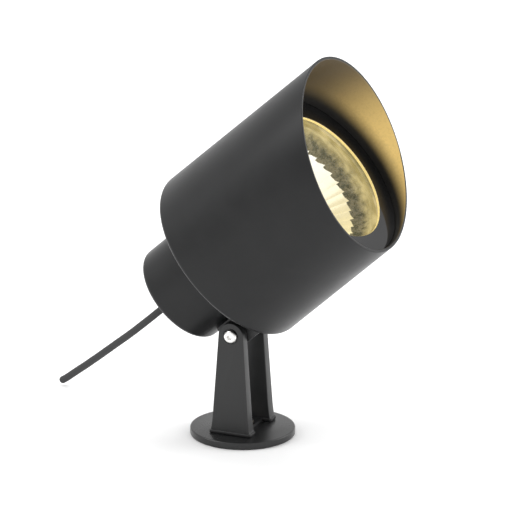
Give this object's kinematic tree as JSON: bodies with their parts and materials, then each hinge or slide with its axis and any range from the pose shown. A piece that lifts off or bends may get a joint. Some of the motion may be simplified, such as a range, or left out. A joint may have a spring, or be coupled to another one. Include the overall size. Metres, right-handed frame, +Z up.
{
  "type": "garden spotlight",
  "caption": "Round garden spotlight with a sloping hood, a cylindrical neck and a cable gland, tilting in a tapered fork that swivels on a round foot.",
  "frame": {"origin": "centre of the foot's underside, on the ground", "axes": "+Z up, +X the way the lamp shines, Y along the tilt axis"},
  "size_m": [0.2624, 0.129, 0.2724],
  "materials": {
    "powder_coat": "matt charcoal powder coat with a fine grain",
    "stainless": "bright stainless steel",
    "bare_aluminium": "bare extruded aluminium",
    "mirror_aluminium": "polished and faceted",
    "black_rubber": "matt black rubber",
    "silicone": "natural pale silicone",
    "black_plastic": "moulded black nylon",
    "white_plastic": "white moulded plastic",
    "nylon": "natural nylon",
    "clear_glass": "clear toughened glass",
    "warm_light": "warm white light source"
  },
  "bodies": {
    "base": {"base_disc": "powder_coat", "pan_screw": "stainless", "pan_washer": "stainless"},
    "fork": {"fork_bracket": "powder_coat", "tilt_bolt": "stainless", "tilt_nut_washer": "stainless", "tilt_nut": "stainless"},
    "head": {"tilt_lug": "powder_coat", "friction_washer_near": "nylon", "friction_washer_far": "nylon", "lamp_housing": "powder_coat", "neck_housing": "powder_coat", "neck_seal": "black_rubber", "neck_screw_1": "stainless", "neck_screw_2": "stainless", "neck_screw_3": "stainless", "lug_screw_1": "stainless", "lug_screw_2": "stainless", "bezel_ring": "powder_coat", "front_lens": "clear_glass", "lens_gasket": "silicone", "lens_seat_ring": "powder_coat", "reflector": "mirror_aluminium", "heat_sink": "bare_aluminium", "sink_post_1": "stainless", "sink_post_2": "stainless", "sink_post_3": "stainless", "sink_post_4": "stainless", "sink_screw_1": "stainless", "sink_screw_2": "stainless", "sink_screw_3": "stainless", "sink_screw_4": "stainless", "led_board": "white_plastic", "led_emitter": "warm_light", "led_holder": "white_plastic", "led_screw_1": "stainless", "led_screw_2": "stainless", "led_lead": "white_plastic", "driver_module": "black_plastic", "terminal_block": "white_plastic", "gland_body": "black_plastic", "gland_lock_nut": "black_plastic", "gland_nut": "black_plastic", "gland_seal": "black_rubber", "cable_tail": "black_rubber", "supply_cable": "black_rubber"}
  },
  "joints": [
    {"name": "swivel", "type": "hinge", "parent": "base", "child": "fork", "pos_m": [0, 0, 0.005], "axis": [0, 0, 1], "range_deg": [-180, 180]},
    {"name": "tilt", "type": "hinge", "parent": "fork", "child": "head", "pos_m": [0, 0, 0.0753], "axis": [0, -1, 0], "range_deg": [-62, 42]}
  ]
}
